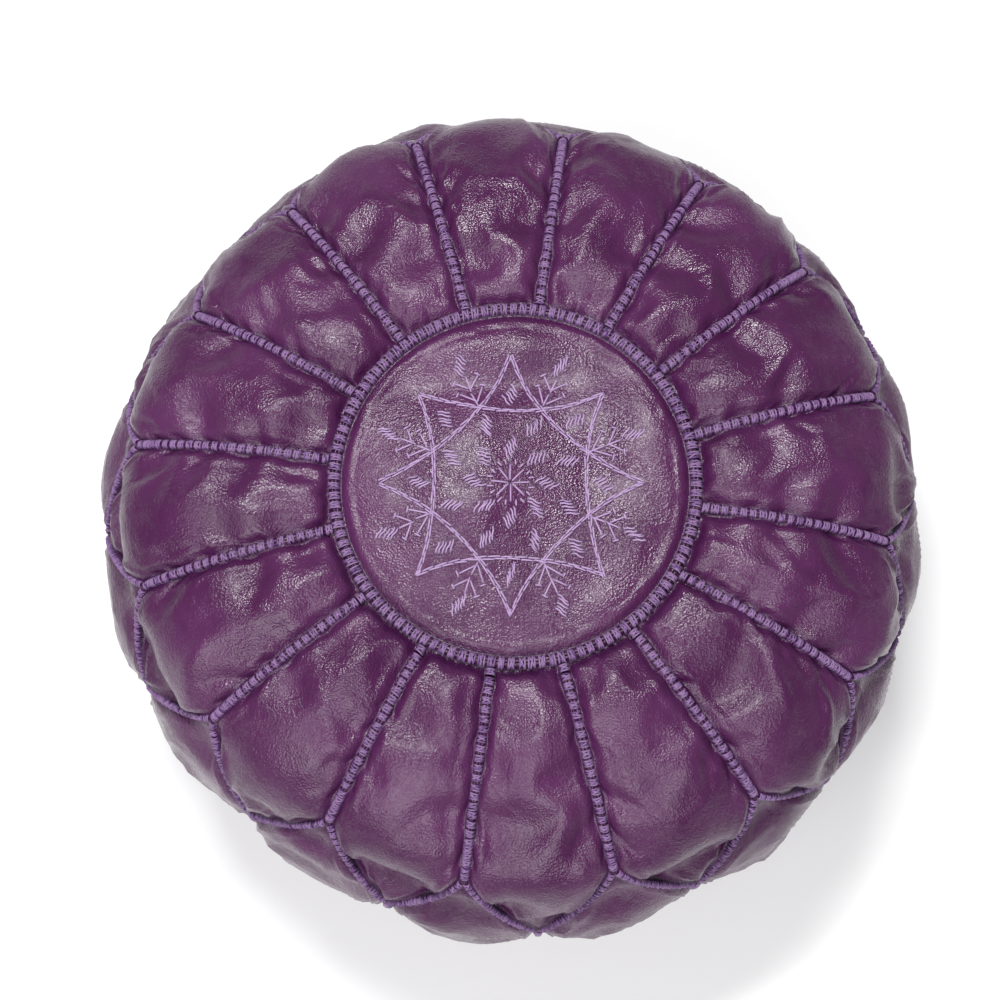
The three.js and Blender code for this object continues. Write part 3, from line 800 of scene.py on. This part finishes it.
def whip(frameAlong, width, height, strands, loose=0.28):
    # beads over a welt: strands holds (start, end, lift) along the seam, in mm, for each strand
    centre, run, out = frameAlong
    side = np.cross(out, run)
    over = np.array([-1, -0.86, -0.5, 0, 0.5, 0.86, 1])  # from one side of the welt to the other
    arch = np.array([-0.9, height * 0.45, height * 0.93, height, height * 0.93, height * 0.45, -0.9]) * mm
    # painted shade along each strand: dark at its ends in the leather, lightest at the top of its arch
    archShade = np.array([0, 0.5, 0.85, 0.9, 0.85, 0.5, 0])
    made = []
    for start, end, lift in strands:
        n = len(centre)
        wide = width / 2 * mm * (1 + chance.normal(0, 0.04, n))[:, None, None]
        start, end = start + chance.normal(0, loose, (n, 1)), end + chance.normal(0, loose, (n, 1))
        along = (start + (end - start) * (over + 1) / 2) * mm
        rise = arch + lift * mm * (1 - over * over)
        paths = (centre[:, None] + side[:, None] * wide * over[None, :, None]
                 + out[:, None] * rise[None, :, None] + run[:, None] * along[..., None])
        # with a random tone for each strand
        toneAndShade = np.clip(archShade[None] + chance.normal(0, 0.2, n)[:, None], 0, 1)
        made.append((paths, run, toneAndShade))
    return made


whipping = {
    "radius": 0.54 * mm,
    "ringPitch": 6.0 * mm,
    "radialPitch": 5.8 * mm,
    "closePitch": 4.7 * mm,  # where a radial seam's beads crowd together before its fork
    "zigzagPitch": 5.0 * mm,
    "bindingPitch": 2.0 * mm,
    "basePitch": 5.2 * mm,
}
# a bead: a strand at each end, one between them, and two that cross over it
crossed = [(-1.75, -1.45, 0.0), (1.45, 1.75, 0.0), (-0.3, 0.4, 0.05), (-1.5, 1.3, 0.35), (1.3, -1.5, 0.75)]


def makeCrownStitches():
    around = np.linspace(0, 2 * math.pi, 1500) + cover["firstSeam"]
    made = whip(alongSeam(around, 0 * around, whipping["ringPitch"], closed=True), 7.3, 3.3, crossed)
    down = np.linspace(0, cover["fork"], 260)
    for index in range(cover["panels"]):
        angle = cover["firstSeam"] + index * panelTurn + 0 * down
        crowd = ((12 + 16 * chance.random()) * mm, whipping["closePitch"] / whipping["radialPitch"])
        frameAlong = alongSeam(angle, down, whipping["radialPitch"], (3.4 * mm, 0), crowd)
        made += whip(frameAlong, 5.5, 3.0, crossed)
    stitched("crownStitches", made, thread, ["crown_seam"], whipping["radius"])


def makeShoulderStitches():
    made = []
    for index in range(2 * cover["panels"]):
        angle = cover["firstSeam"] + (index + np.linspace(0, 1, 260)) * panelTurn / 2
        gaps = (2.6 * mm, 2.6 * mm)
        frameAlong = alongSeam(angle, zigzag(angle), whipping["zigzagPitch"], gaps, lift=0.6 * mm)
        made += whip(frameAlong, 4.4, 2.6, crossed, 0.2)
    stitched("zigzagStitches", made, thread, ["shoulder_seam"], 0.5 * mm, 5)


def makeSideBindings():
    made = []
    down = np.linspace(cover["low"], 1, 400)
    for index in range(cover["panels"]):
        angle = cover["firstSeam"] + (index + 0.5) * panelTurn + 0 * down
        frameAlong = alongSeam(angle, down, whipping["bindingPitch"], (4 * mm, 3 * mm))
        made += whip(frameAlong, 4.2, 2.5, [(-0.5, 0.5, 0.0)])
    stitched("sideBindings", made, thread, ["shoulder_seam"], 0.85 * mm, 5)


def makeBaseStitches():
    around = np.linspace(0, 2 * math.pi, 1500) + cover["firstSeam"]
    made = whip(alongSeam(around, 0 * around + 1, whipping["basePitch"], closed=True), 4.6, 2.6, crossed)
    stitched("baseStitches", made, thread, ["base_seam"], 0.54 * mm, 5)


makeCrownStitches()
makeShoulderStitches()
makeSideBindings()
makeBaseStitches()
print("seams: whipped")


# Embroidery on the medallion. Angles are in degrees from +Y, counter-clockwise, and radii in mm.

star = {
    "centre": (-2.8, -1.3),
    "tip": 80.5,
    "bow": 34,  # where a side's curve is pulled towards
    "rowGap": 1.3,
    "stitch": 8.0,
    "threadRadius": 0.56 * mm,
    "holeRadius": 0.7 * mm,
    "slant": 28,  # of a hatched stitch from the way out from the centre, in degrees
    "lean": 32,  # of a ladder of them, the other way
    "rungs": 5,
    "rungGap": 2.3,
    "seed": 29,
}


def onMedallion(x, y, lift):
    # x and y in mm
    x, y = np.asarray(x, float) * mm, np.asarray(y, float) * mm
    return np.stack([x, y, medallionHeight(x, y) + lift * mm], -1)


def heading(turn):
    return np.array([math.cos(turn), math.sin(turn)])


def polar(radius, degrees):
    return star["centre"] + radius * heading(math.radians(degrees + 90))


def embroidered():
    hand = np.random.default_rng(star["seed"])
    stitches = []  # each two ends and how far it bends either way between them, in mm

    def stitch(start, end, loose=0.5, bend=0.0):
        stitches.append((np.asarray(start) + hand.normal(0, loose, 2),
                         np.asarray(end) + hand.normal(0, loose, 2), bend))

    def hatch(radius, degrees, length):
        # a slanting ladder of stitches, each a little bent like a long S
        middle = polar(radius, degrees)
        run = heading(math.radians(degrees + 90 + star["slant"] + hand.normal(0, 6)))
        step = heading(math.radians(degrees + 90 - star["lean"] + hand.normal(0, 5)))
        for k in range(star["rungs"]):
            at = middle + step * star["rungGap"] * (k - (star["rungs"] - 1) / 2) + run * hand.normal(0, 0.4)
            stitch(at - run * length / 2, at + run * length / 2, 0.3, 0.55 + hand.normal(0, 0.15))

    for k in range(8):
        tipAngle = 45 * k
        start, end = polar(star["tip"], tipAngle), polar(star["tip"], tipAngle + 90)
        pull = polar(star["bow"], tipAngle + 45)
        t = np.linspace(0, 1, 200)[:, None]
        path = (1 - t) ** 2 * start + 2 * t * (1 - t) * pull + t * t * end
        path = path + np.stack([np.sin(t[:, 0] * 7 + k), np.cos(t[:, 0] * 6 + 2 * k)], -1) * 0.7
        length = lengthsAlong(path)
        for row in (-1, 1):
            offset = 0 if row < 0 else star["stitch"] / 2
            at = np.arange(-offset, length[-1] - 2, star["stitch"])
            for here in at:
                a, b = max(here, 0), min(here + star["stitch"] * 1.04, length[-1])
                if b - a < 2.5:
                    continue
                ends = [np.array([np.interp(s, length, line) for line in path.T]) for s in (a, b)]
                run = (ends[1] - ends[0]) / np.linalg.norm(ends[1] - ends[0])
                off = np.array([-run[1], run[0]]) * row * star["rowGap"] / 2
                stitch(ends[0] + off * 0.7, ends[1] + off * 1.3, 0.18)
    for k in range(8):
        notch, tip = 22.5 + 45 * k, 45 * k
        stitch(polar(52, notch), polar(62, notch), 0.4)
        stitch(polar(62, notch), polar(73, notch), 0.4)
        out = math.radians(notch + 90)
        for vertex, length, spread in ((54, 13, 40), (64, 11, 45)):
            for way in (-1, 1):
                turn = out + math.radians(way * spread)
                arm = polar(vertex, notch) + length * heading(turn)
                stitch(polar(vertex, notch), arm, 0.5)
                half = 1.9 * heading(turn + math.pi / 2)
                stitch(arm - half, arm + half, 0.3)
        hatch(80.5, notch, 8.6)
        hatch(56, tip, 8.6)
        hatch(38, notch, 8.8)
        hatch(22, tip, 9.0)
        stitch(polar(0.8, tip), polar(12.4, tip), 0.3)
        for way in (-1, 1):
            near = polar(11, notch + way * 7)
            stitch(near, near + polar(3.6, notch + way * 20) - star["centre"], 0.25)
    starts, ends, bends = (np.array(column) for column in zip(*stitches))
    run = unit(ends - starts)
    t = np.array([0, 0.1, 0.35, 0.65, 0.9, 1.0])
    lift = np.array([-0.6, 0.35, 0.7, 0.7, 0.35, -0.6])
    flat = starts[:, None] + (ends - starts)[:, None] * t[None, :, None]
    sway = np.sin(2 * math.pi * t)[None, :, None] * bends[:, None, None]
    flat = flat + np.stack([-run[:, 1], run[:, 0]], -1)[:, None] * sway
    paths = onMedallion(flat[..., 0], flat[..., 1], lift[None])
    across = np.broadcast_to(np.array([0, 0, 1.0]), (len(paths), 3))
    # painted shade dark at the ends and lighter over the top, with a random tone for each stitch
    archShade = np.array([0, 0.7, 0.9, 0.9, 0.7, 0])
    toneAndShade = np.clip(archShade[None] + hand.normal(0, 0.1, len(paths))[:, None], 0, 1)
    stitched("starEmbroidery", [(paths, across, toneAndShade)], silk, [], star["threadRadius"])
    # dark discs of painted shade where each stitch goes into the leather
    holes = np.concatenate([starts - run * 0.35, ends + run * 0.35])
    corners = 7
    turn = np.arange(corners) / corners * 2 * math.pi
    rim = holes[:, None] + np.stack([np.cos(turn), np.sin(turn)], -1)[None] * star["holeRadius"] / mm
    points = onMedallion(rim[..., 0], rim[..., 1], 0.12).reshape(-1, 3)
    faces = np.arange(len(points)).reshape(-1, corners)
    piece = meshOf("needleHoleShade", points, [faces], leather, {"hollowShade": np.full(len(points), 1.0)})
    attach(piece, "pouf")


embroidered()
print("medallion: embroidered")


# The base, its facings and its zip.

base = {
    "foot": 195 * mm,  # the radius that stands on the floor
    "rim": 219.5 * mm,
    "rimHeight": 16 * mm,
    "curl": 1.8,
    "channelDepth": 6 * mm,  # the channel keeps the zip off the floor
    "lip": 8 * mm,
    "channelHalfWidth": 42 * mm,
    "fullLength": 150 * mm,
    "channelLength": 180 * mm,
    "opening": (160.2 * mm, 42.2 * mm),  # half the hole that the facings fill
    "leather": 1.6 * mm,
    "slit": 7 * mm,  # half the gap between the facings
}


def baseHeight(x, y):
    rim = np.maximum(0, (np.hypot(x, y) - base["foot"]) / (base["rim"] + 2.5 * mm - base["foot"]))
    across = 1 - smooth(np.abs(y), base["lip"], base["channelHalfWidth"])
    along = 1 - smooth(np.abs(x), base["fullLength"], base["channelLength"])
    return base["rimHeight"] * rim ** base["curl"] + base["channelDepth"] * across * along


def thicken(piece):
    # into the pouf, from the outside face
    solid = piece.modifiers.new("thickness", "SOLIDIFY")
    solid.thickness, solid.offset = base["leather"], -1


def makeBaseHalf(side, node, name):
    innerX, innerY = base["opening"]
    corner = math.atan2(innerY, innerX)
    turn = np.concatenate([np.linspace(0, corner, 8)[:-1], np.linspace(corner, math.pi - corner, 100),
                           np.linspace(math.pi - corner, math.pi, 8)[1:]])
    rays = np.stack([np.cos(turn), np.sin(turn)], -1)
    inner = np.minimum(innerX / np.maximum(np.abs(rays[:, 0]), 1e-9), innerY / np.maximum(rays[:, 1], 1e-9))
    share = np.linspace(0, 1, 40)[:, None]
    radius = inner[None] + (base["rim"] - inner[None]) * share
    x, y = radius * rays[:, 0], np.maximum(radius * rays[:, 1], 0.5 * mm)
    if side < 0:
        x, y = -x, -y
    places = np.stack([x, y, 0 * x], -1)
    toRim = base["rim"] - radius
    crumple = np.abs(lumps(places, 22 * mm, 81)) * 1.6 + np.maximum(lumps(places, 55 * mm, 82), 0) * 2.2
    pucker = np.abs(np.sin(np.arctan2(y, x) * 58)) * 1.2 * mm * np.exp(-toRim / (9 * mm))
    places[..., 2] = baseHeight(x, y) + crumple * mm * smooth(toRim, 2 * mm, 30 * mm) + pucker
    flat = smooth(radius - inner[None], 0, 12 * mm)
    places[..., 2] = places[..., 2] * flat + baseHeight(x, y) * (1 - flat) + 0.05 * mm
    # painted shade, darker towards the rim
    hollowShade = 0.6 * np.exp(-toRim / (5 * mm))
    faces = [gridFaces(*places.shape[:2])[:, ::-1]]
    piece = meshOf(name, places.reshape(-1, 3), faces, baseLeather, {"hollowShade": hollowShade})
    thicken(piece)
    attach(piece, "pouf")
    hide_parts(node)


def makeFacing(side, node, name):
    stops = (-160, -144, -135, 135, 144, 160)  # the slit closes just past the ends of the tapes
    along = np.concatenate([np.linspace(a, b, n, endpoint=b == 160) for a, b, n in
                            zip(stops, stops[1:], (5, 12, 110, 12, 6))]) * mm
    shut = smooth(np.abs(along), 136.5 * mm, 142.5 * mm)
    inner = base["slit"] + (0.5 * mm - base["slit"]) * shut
    share = np.linspace(0, 1, 22)[:, None]
    y = inner[None] + (42 * mm - inner[None]) * share
    x = np.broadcast_to(along, y.shape)
    if side < 0:
        x, y = -x, -y
    bite = np.exp(-((np.abs(y) - inner[None] - 3 * mm) / (0.8 * mm)) ** 2) * 0.35 * mm  # of the stitching
    places = np.stack([x, y, baseHeight(x, y) + bite], -1)
    # painted shade, darker towards the slit
    hollowShade = 0.4 * np.exp(-(np.abs(y) - base["slit"]) / (3 * mm))
    piece = meshOf(name, places.reshape(-1, 3), [gridFaces(*y.shape)], baseLeather, {"hollowShade": hollowShade})
    thicken(piece)
    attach(piece, "pouf")
    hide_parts(node)


for side, word in ((1, "back"), (-1, "front")):
    makeBaseHalf(side, f"base_half_{word}", f"baseLeather{word.title()}")
    makeFacing(side, f"zip_facing_{word}", f"zipFacing{word.title()}")
print("base: made")


# The stuffing, one bag just inside the leather.

def makeStuffing():
    angle = np.arange(96) / 96 * 2 * math.pi
    station = np.linspace(0, 1, 40)[:, None]
    places, normals = coverAt(angle[None], station)
    places = places - normals * (9 * mm)
    top = [places[0] * [share, share, 1] for share in (0.02, 0.3, 0.6, 0.85)]
    bottom = [places[-1] * [share, share, 1] for share in (0.8, 0.6, 0.4, 0.2, 0.02)]
    places = np.concatenate([top, places, bottom])
    places = places + lumps(places, 40 * mm, 91)[..., None] * 1.5 * mm * unit(places - [0, 0, 0.14])
    places[..., 2] = np.maximum(places[..., 2], 16 * mm)
    finish = Finish("stuffingCloth")
    weave = finish.cells(1.2 * mm)
    blotch = finish.cloud(60 * mm)
    colour = finish.mix(blotch, (0.78, 0.72, 0.60, 1), (0.62, 0.55, 0.44, 1))
    fixed = {"Roughness": 0.95, "Sheen Weight": 0.2}
    bagCloth = finish.surface({"Base Color": colour}, fixed, weave * (0.2 * mm))
    piece = meshOf("stuffingBag", places.reshape(-1, 3), [gridFaces(*places.shape[:2], True)], bagCloth)
    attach(piece, "pouf")
    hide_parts("stuffing")


makeStuffing()
print("stuffing: made")


# The zip: woven tapes, teeth and the cords that they grip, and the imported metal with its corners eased.

zipper = {
    "pitch": 4.5 * mm,
    "toothHalfWidth": 0.85 * mm,
    "toothHalfHeight": 1.3 * mm,
    "cordRadius": 0.95 * mm,
    "ease": 0.25 * mm,  # how far the metal's corners are rounded
    "stitchRows": (9.2, 12.0),  # mm from the middle
    "stitchPitch": 4.2,
}


def makeTape(word):
    low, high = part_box(f"zip_tape_{word}")
    along = np.linspace(low.x, high.x, 141)
    across = np.array([0, 0.02, 0.25, 0.5, 0.75, 0.98, 1, 0.98, 0.75, 0.5, 0.25, 0.02])
    up = np.array([0.5, 1, 0.9, 1, 0.9, 1, 0.5, 0, 0.1, 0, 0.1, 0])
    y = low.y + (high.y - low.y) * across
    z = low.z + (high.z - low.z) * up
    places = np.stack(np.broadcast_arrays(along[:, None], y[None], z[None]), -1)
    index = np.arange(places[..., 0].size).reshape(places.shape[:2])
    piece = meshOf(f"zipTape{word.title()}", places.reshape(-1, 3),
                   [gridFaces(*places.shape[:2], True), index[:1, ::-1], index[-1:]], tape)
    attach(piece, "pouf")
    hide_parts(f"zip_tape_{word}")
    return low.z / 2 + high.z / 2  # the middle of its thickness


def makeTeeth(word, side, middle):
    # moulded teeth, each tapering to a nose between two of the other side's
    low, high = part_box(f"zip_teeth_{word}")
    first = low.x + zipper["toothHalfWidth"] + zipper["pitch"] * (0.5 if side > 0 else 1)
    centres = np.arange(first, high.x - zipper["toothHalfWidth"], zipper["pitch"])
    turn = (np.arange(10) + 0.5) / 10 * 2 * math.pi
    square = np.stack([np.cos(turn), np.sin(turn)], -1)
    square = np.sign(square) * np.abs(square) ** 0.6
    reach = np.array([3.0, 2.2, 1.2, 0.2, -0.5, -0.9]) * mm * side
    swell = np.array([0.75, 1.0, 1.0, 0.86, 0.94, 0.5])
    x = centres[:, None, None] + square[:, 0] * zipper["toothHalfWidth"] * swell[:, None]
    z = middle + square[:, 1] * zipper["toothHalfHeight"] * swell[:, None] + 0 * x
    points = np.stack([x, reach[:, None] + 0 * x, z], -1)
    piece = meshOf(f"zipTeeth{word.title()}", points.reshape(-1, 3), tubeFaces(x.shape), brass)
    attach(piece, "pouf")
    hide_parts(f"zip_teeth_{word}")
    along = np.linspace(low.x, high.x, 200)
    path = np.stack([along, 0 * along + side * 2.5 * mm, 0 * along + middle], -1)[None]
    points, faces = tubes(path, np.array([[0, 1.0, 0]]), zipper["cordRadius"], 8)
    cord = meshOf(f"zipCord{word.title()}", points, faces, tape)
    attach(cord, "pouf")


def easeMetal(node, name, body):
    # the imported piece's shape with its corners rounded
    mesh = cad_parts[node].data.copy()
    shaped = bmesh.new()
    shaped.from_mesh(mesh)
    bmesh.ops.remove_doubles(shaped, verts=shaped.verts, dist=0.01 * mm)
    bmesh.ops.dissolve_limit(shaped, angle_limit=0.02, verts=shaped.verts, edges=shaped.edges)
    shaped.to_mesh(mesh)
    shaped.free()
    mesh.materials.clear()
    mesh.materials.append(brass)
    piece = bpy.data.objects.new(name, mesh)
    scene.collection.objects.link(piece)
    rounding = piece.modifiers.new("rounding", "BEVEL")
    rounding.width, rounding.segments, rounding.limit_method = zipper["ease"], 3, "ANGLE"
    rounding.angle_limit = math.radians(35)
    mesh.shade_smooth()
    piece.modifiers.new("flats", "WEIGHTED_NORMAL").keep_sharp = True
    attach(piece, body)
    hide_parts(node)


def makeTopstitching():
    # two rows of small stitches along each side of the slit
    made = []
    for side in (-1, 1):
        for row in zipper["stitchRows"]:
            at = np.arange(-144, 144, zipper["stitchPitch"])[:, None] * mm
            x = at + np.array([0, 0.35, 1.6, 2.85, 3.2]) * mm
            y = side * row * mm + 0 * x
            z = baseHeight(x, y) + np.array([0.3, -0.3, -0.45, -0.3, 0.3]) * mm
            across = np.broadcast_to(np.array([0, 1.0, 0]), (len(at), 3))
            # painted shade: dark where each stitch goes into the leather, lighter over its top
            toneAndShade = np.broadcast_to(np.array([0, 0.7, 0.9, 0.7, 0]), x.shape)
            made.append((np.stack([x, y, z], -1), across, toneAndShade))
    stitched("slitTopstitching", made, thread, [], 0.4 * mm)


for word, side in (("back", 1), ("front", -1)):
    makeTeeth(word, side, makeTape(word))
    easeMetal(f"zip_top_stop_{word}", f"zipTopStop{word.title()}", "pouf")
easeMetal("zip_bottom_stop", "zipBottomStop", "pouf")
easeMetal("zip_slider", "zipSlider", "zip_slider")
easeMetal("zip_pull", "zipPull", "zip_pull")
makeTopstitching()
print("zip: finished")

corners = np.array([(-1, -1, 0), (1, -1, 0), (1, 1, 0), (-1, 1, 0)]) * studio["floorSize"] / 2
floor = meshOf("studioFloor", corners, [np.array([[0, 1, 2, 3]])], whitePaper("whitePaper"))
